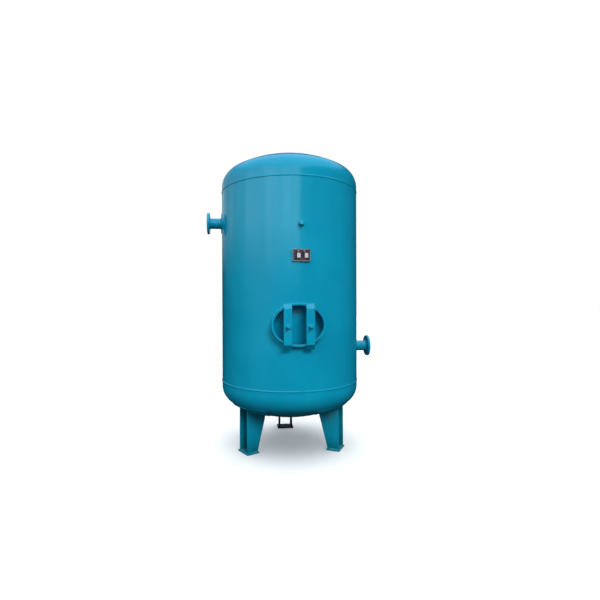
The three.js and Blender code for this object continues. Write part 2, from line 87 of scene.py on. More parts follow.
WALL = 0.008
WELD_ROOT = 0.002  # half the gap that a girth weld fills
HEAD_CROWN_RADIUS = 1.245
HEAD_KNUCKLE_RADIUS = 0.187
HEAD_FLANGE = 0.052  # height of a head's straight rim
NECK_WALL = 0.004
NECK_INSIDE = 0.010  # how far a neck stands inside the shell
NECK_SETBACK = 0.003  # how far its end lies behind the flange's face
MANWAY_WALL = 0.016
FLANGE_HOLES = 8
FLANGE_HOLE_RADIUS = 0.009
FLANGE_HOLE_CIRCLE = 0.090
STUD_RADIUS = 0.012
STUD_PITCH = 0.003
STUD_FOOT_WELD = ((0.009, 0), (0.020, 0), (0.013, 0.007), (0.009, 0.007))
THREAD_BEHIND_YOKE = 0.03  # a stud is threaded from this far behind its yoke's front
WASHER_RADIUS = 0.025
CORNER_SHARE = 0.992
CHAMFER_SHARE = 0.94  # a hexagon's end circle as a share of its width across flats
PLUG_PITCH = 0.002309
PAD_THICKNESS = 0.008
PAD_EASE = 0.0015  # how far a pad's top edge is drawn in
GAP = 0.0003
SMALL_PORT_BORE = 0.0169
LARGE_PORT_BORE = 0.0242
SMALL_SHANK = 0.019
LARGE_SHANK = 0.022
SMALL_HEX = 36 / 22  # a plug's width across flats as a share of its seal's radius
LARGE_HEX = 50 / 29
COLLAR = 0.004  # thickness of the collar under a plug's hexagon
TOP_HEAD_HOLE = 0.0315
BOTTOM_HEAD_HOLE = 0.0245
LEG_PAD_INNER = 0.325
LEG_PAD_OUTER = 0.612
LEG_PAD_WIDTH = 0.230
LEG_ANGLES = {"left": -60, "right": 60, "rear": 180}
GUSSET_SPREAD = 0.139 / 2  # from the leg's middle to the middle of a gusset
GUSSET_THICKNESS = 0.012
GUSSET_TOP = (0.362, 0.562)  # from the tank's axis to the ends of a gusset's top
GUSSET_FOOT = (0.452, 0.562)

# Rounding of sharp edges
FINE_EDGE = 0.0008
WASHER_EDGE = 0.0009
GASKET_EDGE = 0.001
COVER_EDGE = 0.002
COUPLING_EDGE = 0.0018
BRACKET_EDGE = 0.0006
FLANGE_EDGE = 0.0015
GUSSET_EDGE = 0.0014
LUG_EDGE = 0.0016
BASE_EDGE = 0.0018
RING_EDGE = 0.0022
YOKE_EDGE = 0.0035

# Welds: how high each bead stands, and how far its path lies off the plate under it
WELD_LIFT = 0.001
POLE_LIFT = 0.0005
BEAD_RIPPLE = 0.009
GIRTH_CROWN = 0.0042
GIRTH_HALF_WIDTH = 0.0085
GIRTH_ROOT = 0.0016
LONG_CROWN = 0.0026
LONG_HALF_WIDTH = 0.0065
NOZZLE_WELD = 0.0065
FLANGE_WELD = 0.006
MANWAY_WELD = 0.0075
GAUGE_WELD = 0.005
POLE_WELD = 0.0055
LEG_PAD_WELD = 0.0055
GUSSET_TOP_WELD = 0.0050
GUSSET_FOOT_WELD = 0.0042

ROUND = 192  # steps round the vessel and the oval manway
FINE = 64  # steps round small turned pieces

TO_FRONT = Matrix.Rotation(math.pi / 2, 4, "X")
TO_RIGHT = Matrix.Rotation(math.pi / 2, 4, "Y")
TO_LEFT = Matrix.Rotation(-math.pi / 2, 4, "Y")
FLIPPED = Matrix.Rotation(math.pi, 4, "X")


def at_axis(z=0.0):
    return Matrix.Translation((AXIS.x, AXIS.y, z))


def facing_front(centre):
    """A place level with `centre`, whose +Z points out of the tank's front."""
    return Matrix.Translation((centre.x, AXIS.y, centre.z)) @ TO_FRONT


def front_reach(node):
    """How far a node's back and front lie in front of the tank's axis."""
    return AXIS.y - high_corner(node).y, AXIS.y - low_corner(node).y


def turns(steps):
    """Equal turns round a full circle, from 0."""
    return [2 * math.pi * i / steps for i in range(steps)]


def unit(turn):
    """The direction at a turn in the XY plane."""
    return Vector((math.cos(turn), math.sin(turn), 0))


def heading(azimuth):
    """The level direction at an azimuth in degrees: 0 to the front, 90 to the right."""
    return unit(math.radians(azimuth - 90))


def lift(z):
    return Vector((0, 0, z))


def spaced(start, end, spans):
    """Evenly spaced values from start to end, both included."""
    return [start + (end - start) * i / spans for i in range(spans + 1)]


# ---- Node helpers ----

class Tree:
    """Short calls for building a material's node tree."""

    def __init__(self, name):
        self.material = bpy.data.materials.new(name)
        self.material.use_nodes = True
        self.nodes = self.material.node_tree.nodes
        self.links = self.material.node_tree.links
        self.shader = self.nodes["Principled BSDF"]
        self.place = self.nodes.new("ShaderNodeTexCoord").outputs["Object"]

    def wire(self, node, output, inputs):
        """Link or set a node's inputs by name or number, and give back one of its outputs."""
        for key, value in inputs.items():
            socket = node.inputs[key]
            if isinstance(value, bpy.types.NodeSocket):
                self.links.new(value, socket)
            elif socket.type == "RGBA":
                socket.default_value = (*value, 1.0)
            else:
                socket.default_value = value
        return node.outputs[output]

    def noise(self, scale, detail=3.0, roughness=0.5, stretch=None):
        place = self.place
        if stretch:
            mapping = self.nodes.new("ShaderNodeMapping")
            place = self.wire(mapping, "Vector", {"Vector": place, "Scale": stretch})
        node = self.nodes.new("ShaderNodeTexNoise")
        inputs = {"Vector": place, "Scale": scale, "Detail": detail, "Roughness": roughness}
        return self.wire(node, "Fac", inputs)

    def remap(self, value, low, high, to_low=0.0, to_high=1.0):
        node = self.nodes.new("ShaderNodeMapRange")
        limits = {"From Min": low, "From Max": high, "To Min": to_low, "To Max": to_high}
        return self.wire(node, "Result", {"Value": value, **limits})

    def math(self, operation, a, b):
        node = self.nodes.new("ShaderNodeMath")
        node.operation = operation
        return self.wire(node, "Value", {0: a, 1: b})

    def dot(self, a, b):
        node = self.nodes.new("ShaderNodeVectorMath")
        node.operation = "DOT_PRODUCT"
        return self.wire(node, "Value", {0: a, 1: b})

    def mix(self, factor, a, b):
        node = self.nodes.new("ShaderNodeMix")
        node.data_type = "RGBA"
        return self.wire(node, "Result", {"Factor": factor, "A": a, "B": b})

    def facing(self):
        """The surface's own direction."""
        return self.nodes.new("ShaderNodeNewGeometry").outputs["Normal"]

    def edges(self, size):
        """1 close to a sharp edge, 0 on open surface."""
        bevel = self.nodes.new("ShaderNodeBevel")
        bevel.samples = 4
        rounded = self.wire(bevel, "Normal", {"Radius": size})
        return self.remap(self.dot(rounded, self.facing()), 0.995, 0.90)

    def hollows(self, reach, most):
        """`most` deep in a corner or a hollow, a quarter of it on open surface."""
        node = self.nodes.new("ShaderNodeAmbientOcclusion")
        node.samples = 6
        return self.remap(self.wire(node, "AO", {"Distance": reach}), 1.0, 0.35, 0.25 * most, most)

    def bump(self, height, distance, strength=1.0, below=None):
        node = self.nodes.new("ShaderNodeBump")
        inputs = {"Height": height, "Distance": distance, "Strength": strength}
        if below:
            inputs["Normal"] = below
        return self.wire(node, "Normal", inputs)

    def finish(self, colour, roughness, normal=None, **constants):
        for name, output in (("Base Color", colour), ("Roughness", roughness), ("Normal", normal)):
            if output is not None:
                self.links.new(output, self.shader.inputs[name])
        for name, value in constants.items():
            self.shader.inputs[name.replace("_", " ")].default_value = value
        return self.material


# ---- Materials ----

PAINT = (0.0010, 0.302, 0.464)
PAINT_DEEP = (0.0008, 0.264, 0.416)
PAINT_PALE = (0.0060, 0.340, 0.510)
# Painted shade: the dark colour laid into corners and hollows
PAINT_SHADED = (0.0010, 0.105, 0.125)
DUST = (0.300, 0.420, 0.450)
PRIMER = (0.110, 0.070, 0.055)


def paint(name, wear=0.0, ripple=0.0, hollow_shade=0.0, waves=0.0, gloss=1.0):
    """Sprayed enamel: faint clouds, orange peel, slow waves of the plate, dust, painted shade in hollows and
    chipped edges.
    """
    tree = Tree(name)
    clouds = tree.remap(tree.noise(1.7, 4.0, 0.55), 0.35, 0.65)
    colour = tree.mix(clouds, PAINT_DEEP, PAINT)
    if hollow_shade > 0.0:
        # Painted shade: darker in corners and hollows, by ambient occlusion
        colour = tree.mix(tree.hollows(0.16, hollow_shade), colour, PAINT_SHADED)
    streaks = tree.remap(tree.noise(9.0, 5.0, 0.6, stretch=(1.0, 1.0, 0.16)), 0.55, 0.85, 0.0, 0.35)
    colour = tree.mix(streaks, colour, PAINT_PALE)
    specks = tree.remap(tree.noise(260.0, 2.0), 0.70, 0.78, 0.0, 0.3)
    colour = tree.mix(specks, colour, DUST)
    dust_cover = tree.remap(tree.dot(tree.facing(), (0, 0, 1)), 0.55, 1.0, 0.0, 0.30)
    dust = tree.math("MULTIPLY", dust_cover, tree.remap(tree.noise(14.0, 6.0, 0.7), 0.35, 0.7))
    colour = tree.mix(dust, colour, DUST)
    roughness = tree.remap(tree.noise(5.0, 4.0, 0.6), 0.3, 0.7, 0.17, 0.26)
    roughness = tree.math("ADD", roughness, tree.math("MULTIPLY", dust, 0.6))
    if wear > 0.0:
        chips = tree.remap(tree.noise(90.0, 4.0, 0.7), 0.62, 0.70)
        chipped = tree.math("MULTIPLY", tree.math("MULTIPLY", tree.edges(0.002), chips), wear)
        colour = tree.mix(chipped, colour, PRIMER)
        roughness = tree.math("ADD", roughness, tree.math("MULTIPLY", chipped, 0.5))
    normal = tree.bump(tree.noise(330.0, 2.0, 0.5), 0.0002, 0.35)
    if waves > 0.0:
        normal = tree.bump(tree.noise(2.6, 1.0, 0.4), 0.010, waves, below=normal)
        normal = tree.bump(tree.noise(9.0, 2.0, 0.5, stretch=(1.0, 1.0, 0.14)), 0.004, waves, below=normal)
    if ripple > 0.0:
        normal = tree.bump(tree.noise(170.0, 2.0, 0.5), 0.0015, ripple, below=normal)
    return tree.finish(colour, roughness, normal, IOR=1.5, Specular_IOR_Level=0.5 * gloss,
                       Coat_Weight=0.35 * gloss, Coat_Roughness=0.06)


def painted_shade_black(name):
    """Near-black painted shade for the rear leg, which stands in the dark under the tank: dull, a little
    dusty, scuffed grey at its edges.
    """
    tree = Tree(name)
    film = tree.remap(tree.noise(16.0, 6.0, 0.65), 0.45, 0.75)
    colour = tree.mix(film, (0.0035, 0.0038, 0.0042), (0.011, 0.012, 0.013))
    scuffs = tree.math("MULTIPLY", tree.edges(0.002), tree.remap(tree.noise(80.0, 4.0, 0.7), 0.60, 0.70))
    colour = tree.mix(scuffs, colour, (0.060, 0.060, 0.062))
    roughness = tree.remap(film, 0.0, 1.0, 0.42, 0.60)
    brushing = tree.bump(tree.noise(210.0, 3.0, 0.6, stretch=(1.0, 1.0, 0.12)), 0.0003, 0.4)
    return tree.finish(colour, roughness, brushing, IOR=1.45)


def bare_metal(name, colour, low_roughness):
    """Metal with fine brushing, smudges and a little tarnish."""
    tree = Tree(name)
    brushing = tree.noise(420.0, 2.0, 0.5, stretch=(1.0, 0.05, 0.05))
    smudge = tree.remap(tree.noise(22.0, 4.0, 0.6), 0.35, 0.65)
    darker = tuple(0.72 * value for value in colour)
    base = tree.mix(smudge, colour, darker)
    roughness = tree.remap(smudge, 0.0, 1.0, low_roughness, low_roughness + 0.14)
    normal = tree.bump(brushing, 0.0001, 0.3)
    return tree.finish(base, roughness, normal, Metallic=1.0)


def print_ink(name, colour):
    """Enamel printed on the nameplate: a little grain, thin spots and dust."""
    tree = Tree(name)
    grain = tree.remap(tree.noise(700.0, 2.0), 0.35, 0.65)
    lighter = tuple(min(1.0, 1.18 * value + 0.006) for value in colour)
    base = tree.mix(grain, colour, lighter)
    film = tree.remap(tree.noise(30.0, 5.0, 0.65), 0.50, 0.80, 0.0, 0.10)
    base = tree.mix(film, base, (0.32, 0.36, 0.38))
    rough = tree.remap(tree.noise(60.0, 3.0), 0.3, 0.7, 0.38, 0.53)
    return tree.finish(base, rough, tree.bump(grain, 0.00004, 0.3))


def rubber(name):
    """Matte black sheet with a grey bloom."""
    tree = Tree(name)
    bloom = tree.remap(tree.noise(35.0, 5.0, 0.65), 0.45, 0.75)
    base = tree.mix(bloom, (0.018, 0.018, 0.019), (0.060, 0.060, 0.062))
    rough = tree.remap(bloom, 0.0, 1.0, 0.62, 0.82)
    return tree.finish(base, rough, tree.bump(tree.noise(520.0, 3.0), 0.0002, 0.5))


def rusty_plate(name):
    """Bare plate inside the tank: dull grey mill scale with thin rust."""
    tree = Tree(name)
    rust = tree.remap(tree.noise(6.0, 8.0, 0.7), 0.45, 0.62)
    base = tree.mix(rust, (0.085, 0.085, 0.090), (0.160, 0.070, 0.030))
    rough = tree.remap(rust, 0.0, 1.0, 0.50, 0.88)
    return tree.finish(base, rough, tree.bump(tree.noise(120.0, 5.0, 0.6), 0.0006, 0.5))


BODY_PAINT = paint("body_paint", waves=0.4)
PART_PAINT = paint("part_paint", wear=0.8)
# The legs get painted shade in their corners and in the channel between their plates
LEG_PAINT = paint("leg_paint", wear=0.8, hollow_shade=0.9)
# Painted shade: the rear leg's near-black finish stands in for the dark under the tank
REAR_LEG_SHADE = painted_shade_black("black_primer")
COVER_PAINT = paint("cover_paint", gloss=0.3)
WELD_PAINT = paint("weld_paint", ripple=0.35)
INSIDE = rusty_plate("inside_plate")
RUBBER = rubber("gasket_rubber")
COPPER = bare_metal("seal_copper", (0.72, 0.40, 0.25), 0.30)
ALUMINIUM = bare_metal("plate_aluminium", (0.70, 0.72, 0.74), 0.28)
RIVET = bare_metal("rivet_metal", (0.62, 0.63, 0.65), 0.34)
BLACK_INK = print_ink("black_ink", (0.012, 0.013, 0.016))
WHITE_INK = print_ink("white_ink", (0.56, 0.53, 0.56))
RED_INK = print_ink("red_ink", (0.300, 0.030, 0.028))


# ---- Mesh helpers ----

def make_object(name, mesh, material, body, replaces):
    obj = bpy.data.objects.new(name, mesh)
    bpy.context.scene.collection.objects.link(obj)
    mesh.materials.append(material)
    if replaces:
        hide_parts(*replaces)
    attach(obj, body)
    return obj


def clean_mesh(name, vertices, faces, smooth_angle=35.0):
    """A closed mesh: doubled points merged, faces out, and edges sharp above an angle in degrees."""
    mesh = bpy.data.meshes.new(name)
    mesh.from_pydata([tuple(v) for v in vertices], [], faces)
    work = bmesh.new()
    work.from_mesh(mesh)
    bmesh.ops.remove_doubles(work, verts=work.verts, dist=1e-6)
    bmesh.ops.recalc_face_normals(work, faces=work.faces)
    work.to_mesh(mesh)
    work.free()
    mesh.shade_smooth()
    mesh.set_sharp_from_angle(angle=math.radians(smooth_angle))
    return mesh


def add_solid(name, solid, material, body="vessel", smooth_angle=35.0, replaces=None):
    """One closed solid as a piece, in place of the CAD node of its own name unless told otherwise."""
    mesh = clean_mesh(name, *solid, smooth_angle=smooth_angle)
    return make_object(name, mesh, material, body, (name,) if replaces is None else replaces)


def add_bead(name, path, size, seed, material=WELD_PAINT, closed=True):
    """A weld bead as a piece, which stands in for no CAD node."""
    add_solid(name, bead(path, size, seed, closed), material, smooth_angle=60, replaces=())


def add_inside(mesh, is_inside):
    """Paint outside, and bare plate on the faces that `is_inside` picks."""
    mesh.materials.append(INSIDE)
    for face in mesh.polygons:
        if is_inside(face):
            face.material_index = 1


def swept(sections, closed=True):
    """Vertices and faces that join equal closed sections, one after another."""
    count = len(sections[0])
    vertices = [point for section in sections for point in section]
    faces = []
    spans = len(sections) if closed else len(sections) - 1
    for i in range(spans):
        here = i * count
        there = ((i + 1) % len(sections)) * count
        for j in range(count):
            k = (j + 1) % count
            faces.append((here + j, here + k, there + k, there + j))
    if not closed:
        faces.append(tuple(range(count)))
        faces.append(tuple(range(len(vertices) - count, len(vertices))))
    return vertices, faces


def turned(profile, steps=FINE, place=Matrix.Identity(4)):
    """A closed profile of (radius, z) turned about Z, then placed."""
    return swept([[place @ (unit(turn) * r + lift(z)) for r, z in profile] for turn in turns(steps)])


def softened(profile, size, steps=3):
    """The closed outline with its corners rounded by `size` at most, except along x = 0."""
    points = [Vector(p) for p in profile]
    result = []
    for i, point in enumerate(points):
        ahead = points[(i + 1) % len(points)]
        behind = points[i - 1]
        if point.x == 0 and 0 in (ahead.x, behind.x):
            result.append(tuple(point))
            continue
        before = behind - point
        after = ahead - point
        reach = min(size, before.length * 0.45, after.length * 0.45)
        start = point + before.normalized() * reach
        end = point + after.normalized() * reach
        for k in range(steps + 1):
            t = k / steps
            curve = start * (1 - t) ** 2 + point * 2 * t * (1 - t) + end * t ** 2
            result.append(tuple(curve))
    return result


def ring(inner, outer, low, high, edge, place, steps=FINE):
    """A turned ring with its corners rounded."""
    outline = softened([(inner, low), (outer, low), (outer, high), (inner, high)], edge)
    return turned(outline, steps, place)


def merged(one, other):
    """Two separate closed solids as one list of vertices and faces."""
    start = len(one[0])
    return one[0] + other[0], one[1] + [tuple(start + i for i in face) for face in other[1]]


def bead(path, radius, seed, closed=True, across=None):
    """A weld bead on a path of (point, up): a low ridge, its size wandering a little, with a fine ripple."""
    phase = random.Random(seed).uniform(0, 100)
    travelled = 0.0
    sections = []
    for i, (point, up) in enumerate(path):
        ahead = path[(i + 1) % len(path)][0] if closed or i + 1 < len(path) else point
        behind = path[i - 1][0] if closed or i > 0 else point
        side = (ahead - behind).normalized().cross(up).normalized()
        if i > 0:
            travelled += (point - behind).length
        swell = 1 + 0.13 * noise.noise(Vector((travelled * 40, phase, 0)))
        swell += 0.05 * math.sin(travelled * 2 * math.pi / BEAD_RIPPLE)
        section = []
        for turn in turns(8):
            width = (across or radius) * math.cos(turn)
            height = radius * math.sin(turn)
            section.append(point + (side * width + up * height) * swell)
        sections.append(section)
    return swept(sections, closed)


def refined(node, width, material, body="vessel", segments=3):
    """A copy of a CAD node's flat-sided solid with its facets joined and its edges rounded."""
    mesh = bpy.data.objects[node].data.copy()
    mesh.name = node
    mesh.materials.clear()
    work = bmesh.new()
    work.from_mesh(mesh)
    bmesh.ops.remove_doubles(work, verts=work.verts, dist=1e-6)
    bmesh.ops.dissolve_limit(work, angle_limit=math.radians(1.0), verts=work.verts, edges=work.edges)
    sharp = [edge for edge in work.edges
             if len(edge.link_faces) == 2 and edge.calc_face_angle(0) > math.radians(25)]
    bmesh.ops.bevel(work, geom=sharp, offset=width, segments=segments, profile=0.5, affect="EDGES",
                    clamp_overlap=True)
    bmesh.ops.recalc_face_normals(work, faces=work.faces)
    work.to_mesh(mesh)
    work.free()
    mesh.shade_smooth()
    mesh.set_sharp_from_angle(angle=math.radians(40))
    make_object(node, mesh, material, body, (node,))


def carve(obj, *cutters):
    """Cut closed meshes out of a piece, for good."""
    for vertices, faces in cutters:
        tool = bpy.data.objects.new("cutter", clean_mesh("cutter", vertices, faces))
        bpy.context.scene.collection.objects.link(tool)
        modifier = obj.modifiers.new("cut", "BOOLEAN")
        modifier.operation = "DIFFERENCE"
        modifier.solver = "EXACT"
        modifier.object = tool
        bpy.context.view_layer.objects.active = obj
        with bpy.context.temp_override(object=obj, active_object=obj):
            bpy.ops.object.modifier_apply(modifier=modifier.name)
        bpy.data.meshes.remove(tool.data)


# ---- Vessel ----

KNUCKLE_CENTRE = RADIUS - HEAD_KNUCKLE_RADIUS
CENTRE_DISTANCE = HEAD_CROWN_RADIUS - HEAD_KNUCKLE_RADIUS
CROWN_CENTRE = HEAD_FLANGE - math.sqrt(CENTRE_DISTANCE ** 2 - KNUCKLE_CENTRE ** 2)


def head_profile(offset):
    """(radius, height above the seam) from the pole to the open edge, moved outwards by `offset`."""
    meet = math.asin(KNUCKLE_CENTRE / CENTRE_DISTANCE)
    crown = HEAD_CROWN_RADIUS + offset
    knuckle = HEAD_KNUCKLE_RADIUS + offset
    profile = [(crown * math.sin(angle), CROWN_CENTRE + crown * math.cos(angle))
               for angle in spaced(0, meet, 20)]
    profile += [(KNUCKLE_CENTRE + knuckle * math.sin(angle), HEAD_FLANGE + knuckle * math.cos(angle))
                for angle in spaced(meet, math.pi / 2, 14)[1:]]
    return profile


def head_height(radius, offset):
    """Height above the seam of the head's outside, moved outwards, at a distance from the axis."""
    crown = HEAD_CROWN_RADIUS + offset
    knuckle = HEAD_KNUCKLE_RADIUS + offset
    if radius < crown * KNUCKLE_CENTRE / CENTRE_DISTANCE:
        return CROWN_CENTRE + math.sqrt(crown ** 2 - radius ** 2)
    reach = min(radius - KNUCKLE_CENTRE, knuckle)
    return HEAD_FLANGE + math.sqrt(knuckle ** 2 - reach ** 2)


def make_head(name, place, hole):
    outline = [(max(r, hole), z) for r, z in head_profile(-WALL)]
    outline += [(RADIUS - WALL, WELD_ROOT), (RADIUS, WELD_ROOT)]
    outline += [(max(r, hole), z) for r, z in reversed(head_profile(0))]
    head = add_solid(name, turned(outline, ROUND, place), BODY_PAINT, smooth_angle=50)
    centre = place.to_translation()
    add_inside(head.data, lambda face: face.normal.dot(face.center - centre) < 0)


def oval(width, height, turn):
    return Vector((width / 2 * math.cos(turn), height / 2 * math.sin(turn), 0))


def prism(outline_points, depth):
    """A closed straight solid: an outline in XY, from Z = 0 up to `depth`."""
    top = [point + lift(depth) for point in outline_points]
    return swept([outline_points, top], closed=False)


def cylinder(radius, low, high, steps=FINE):
    return turned([(0, low), (radius, low), (radius, high), (0, high)], steps)


def placed(solid, place):
    vertices, faces = solid
    return [place @ vertex for vertex in vertices], faces


def make_shell():
    levels = spaced(BOTTOM_SEAM + WELD_ROOT, TOP_SEAM - WELD_ROOT, 40)
    outline = [(RADIUS - WALL, z) for z in levels] + [(RADIUS, z) for z in reversed(levels)]
    shell = add_solid("tank_shell", turned(outline, ROUND, at_axis()), BODY_PAINT, replaces=("shell",))
    cut_from, cut_to = RADIUS - 0.1, RADIUS + 0.1
    neck = cylinder(NECK_RADIUS + GAP, cut_from, cut_to)
    manway = prism([oval(RING_WIDTH + 2 * GAP, RING_HEIGHT + 2 * GAP, turn) for turn in turns(128)], 0.3)
    carve(
        shell,
        placed(neck, Matrix.Translation((0, AXIS.y, OUTLET.z)) @ TO_LEFT),
        placed(neck, Matrix.Translation((0, AXIS.y, INLET.z)) @ TO_RIGHT),
        placed(cylinder(GAUGE_RADIUS + GAP, cut_from, cut_to), facing_front(GAUGE)),
        placed(manway, facing_front(MANWAY) @ Matrix.Translation((0, 0, cut_from))),
    )
    return shell


def from_axis(point):
    """The level direction from the tank's axis to a point."""
    return Vector((point.x - AXIS.x, point.y - AXIS.y, 0)).normalized()


def set_round_normals(obj):
    """Shade the shell as a true cylinder, so that its holes leave no marks in reflections."""
    mesh = obj.data
    add_inside(mesh, lambda face: face.normal.dot(from_axis(face.center)) < -0.9)
    normals = []
    for face in mesh.polygons:
        for loop in face.loop_indices:
            radial = from_axis(mesh.vertices[mesh.loops[loop].vertex_index].co)
            facing = face.normal.dot(radial)
            rolled = abs(facing) > 0.9
            normals.append(radial * (1 if facing > 0 else -1) if rolled else face.normal.copy())
    mesh.normals_split_custom_set(normals)


def make_girth_weld(name, z, seed):
    """The crown of the weld outside, and its root through the wall."""
    phase = random.Random(seed).uniform(0, 100)
    root_end = RADIUS - WALL - 0.001
    foot = RADIUS - 0.0005
    sections = []
    for i, turn in enumerate(turns(1440)):
        direction = unit(turn)
        drift = 0.0006 * noise.noise(direction * 9 + Vector((phase, 0, 0)))
        swell = 1 + 0.12 * noise.noise(direction * 40 + Vector((0, phase, 0))) + 0.10 * math.sin(i * 2.2)
        half = GIRTH_HALF_WIDTH * (1 + 0.10 * noise.noise(direction * 25 + lift(phase)))
        outline = [(root_end, -GIRTH_ROOT), (foot, -GIRTH_ROOT)]
        for k in range(9):
            across = math.pi * k / 8
            outline.append((foot + GIRTH_CROWN * swell * math.sin(across), drift - half * math.cos(across)))
        outline += [(foot, GIRTH_ROOT), (root_end, GIRTH_ROOT)]
        sections.append([Vector((AXIS.x, AXIS.y, z)) + direction * r + lift(dz) for r, dz in outline])
    add_solid(name, swept(sections), WELD_PAINT, smooth_angle=60)


def make_long_weld():
    levels = spaced(low_corner("long_weld").z, high_corner("long_weld").z, 480)
    path = [(Vector((AXIS.x, AXIS.y + RADIUS, z)), Vector((0, 1, 0))) for z in levels]
    solid = bead(path, LONG_CROWN, 7, closed=False, across=LONG_HALF_WIDTH)
    add_solid("seam_long_weld", solid, WELD_PAINT, smooth_angle=60, replaces=("long_weld",))


set_round_normals(make_shell())
make_head("top_head", at_axis(TOP_SEAM), TOP_HEAD_HOLE)
make_head("bottom_head", at_axis(BOTTOM_SEAM) @ FLIPPED, BOTTOM_HEAD_HOLE)
make_girth_weld("top_girth_weld", TOP_SEAM, 1)
make_girth_weld("bottom_girth_weld", BOTTOM_SEAM, 2)
make_long_weld()


# ---- Flanged nozzles ----

def on_shell(side, z, across, up, offset):
    """A point on the shell at a place seen square on from one side, with its outward direction."""
    depth = math.sqrt((RADIUS + offset) ** 2 - across ** 2)
    if side == "front":
        point = Vector((AXIS.x + across, AXIS.y - depth, z + up))
    else:
        sign = -1 if side == "left" else 1
        point = Vector((AXIS.x + sign * depth, AXIS.y + across, z + up))
    return point, from_axis(point)


def weld_on_shell(name, side, z, centre, half_width, half_height, offset, size, seed, steps=160):
    """A fillet weld round a pipe or plate that stands on the shell."""
    path = [on_shell(side, z, centre + half_width * math.cos(turn), half_height * math.sin(turn), offset)
            for turn in turns(steps)]
    add_bead(name, path, size, seed)


def make_pad(name, side, z, inner, outer):
    """A ring of plate rolled to the shell, its outer edge eased."""
    radii = spaced(inner, outer, 6)
    outline = [(radius, GAP) for radius in radii] + [(outer - PAD_EASE, GAP + PAD_THICKNESS)]
    outline += [(radius, GAP + PAD_THICKNESS) for radius in reversed(radii[:-1])]
    sections = [[on_shell(side, z, radius * math.cos(turn), radius * math.sin(turn), offset)[0]
                 for radius, offset in outline] for turn in turns(96)]
    add_solid(name, swept(sections), PART_PAINT)


def make_nozzle(name, side, turn, neck_middle):
    z = neck_middle.z
    place = at_axis(z) @ turn
    flange_node = f"{name}_flange"
    reach = max(abs(low_corner(flange_node).x), abs(high_corner(flange_node).x))
    flange_size = size_of(flange_node)
    pad_radius = size_of(f"{name}_pad").z / 2
    flange_back = reach - flange_size.x
    make_pad(f"{name}_pad", side, z, NECK_RADIUS + GAP, pad_radius)
    bore = NECK_RADIUS - NECK_WALL
    tube = ring(bore, NECK_RADIUS, RADIUS - WALL - NECK_INSIDE, reach - NECK_SETBACK, FINE_EDGE, place, 96)
    neck = add_solid(f"{name}_neck", tube, PART_PAINT)

    def in_bore(face):
        radial = Vector((0, face.center.y - AXIS.y, face.center.z - z))
        return face.normal.dot(radial) < 0 and radial.length < bore + 0.001

    add_inside(neck.data, in_bore)
    disc = ring(NECK_RADIUS + GAP, flange_size.z / 2, flange_back, reach, FLANGE_EDGE, place, 128)
    flange = add_solid(flange_node, disc, PART_PAINT)
    drill = cylinder(FLANGE_HOLE_RADIUS, reach - 0.05, reach + 0.05, 32)
    half_step = math.pi / FLANGE_HOLES
    holes = [placed(drill, place @ Matrix.Translation(unit(angle + half_step) * FLANGE_HOLE_CIRCLE))
             for angle in turns(FLANGE_HOLES)]
    carve(flange, *holes)
    flange.data.shade_smooth()
    flange.data.set_sharp_from_angle(angle=math.radians(35))
    foot = NECK_RADIUS + WELD_LIFT
    weld_on_shell(f"{name}_neck_weld", side, z, 0, foot, foot, PAD_THICKNESS + WELD_LIFT, NOZZLE_WELD, 11)
    weld_on_shell(f"{name}_pad_weld", side, z, 0, pad_radius, pad_radius, WELD_LIFT, NOZZLE_WELD, 13, 240)
    path = [(place @ (unit(angle) * NECK_RADIUS + lift(flange_back)),
             (place.to_3x3() @ (unit(angle) - lift(1))).normalized()) for angle in turns(128)]
    add_bead(f"{name}_flange_weld", path, FLANGE_WELD, 17)


make_nozzle("outlet", "left", TO_LEFT, OUTLET)
make_nozzle("inlet", "right", TO_RIGHT, INLET)


# ---- Oval manway ----

def oval_ring(node, rounding):
    """The ring's outline from a node's back to its front, its inner corners rounded."""
    low, high = front_reach(node)
    outline = softened([(-MANWAY_WALL, low), (0, low), (0, high), (-MANWAY_WALL, high)], rounding)
    place = facing_front(MANWAY)
    return swept([[place @ (oval(RING_WIDTH + 2 * inward, RING_HEIGHT + 2 * inward, turn) + lift(z))
                   for inward, z in outline] for turn in turns(ROUND)])


def oval_plate(node, rounding):
    """A solid oval plate that fills a node's box, its edges rounded."""
    low, high = front_reach(node)
    size = size_of(node)
    ease = rounding / size.z
    back = [(0.0, low), (1 - 2 * ease, low), (1 - 0.6 * ease, low + 0.3 * rounding), (1.0, low + rounding)]
    rings = back + [(scale, low + high - z) for scale, z in reversed(back)]
    place = facing_front(MANWAY)
    return swept([[place @ (oval(size.x, size.z, turn) * scale + lift(z)) for scale, z in rings]
                  for turn in turns(ROUND)])


def threaded_rod(radius, pitch, low, high, thread_from, place, steps=40):
    """A stud: plain at first, then with a real helical thread."""
    rows = [(low, False), (thread_from - 0.001, False)]
    rows += [(z, True) for z in spaced(thread_from, high, int((high - thread_from) / pitch * 10))]
    sections = []
    depth = 0.61 * pitch
    for i, turn in enumerate(turns(steps)):
        section = [place @ lift(low)]
        for z, threaded in rows:
            phase = (z / pitch - i / steps) % 1.0
            groove = depth * max(0.0, 1 - 2.4 * abs(phase - 0.5)) if threaded else 0.0
            taper = max(0.0, z - (high - 0.0025)) * 0.9
            section.append(place @ (unit(turn) * (radius - max(groove, taper)) + lift(z)))
        section.append(place @ lift(high))
        sections.append(section)
    return swept(sections)


def hexagon_radius(turn, flats):
    """Distance from the middle to a hexagon's side, with slightly eased corners."""
    sector = (turn + math.pi / 6) % (math.pi / 3) - math.pi / 6
    return min(flats / 2 / math.cos(sector), flats / math.sqrt(3) * CORNER_SHARE)


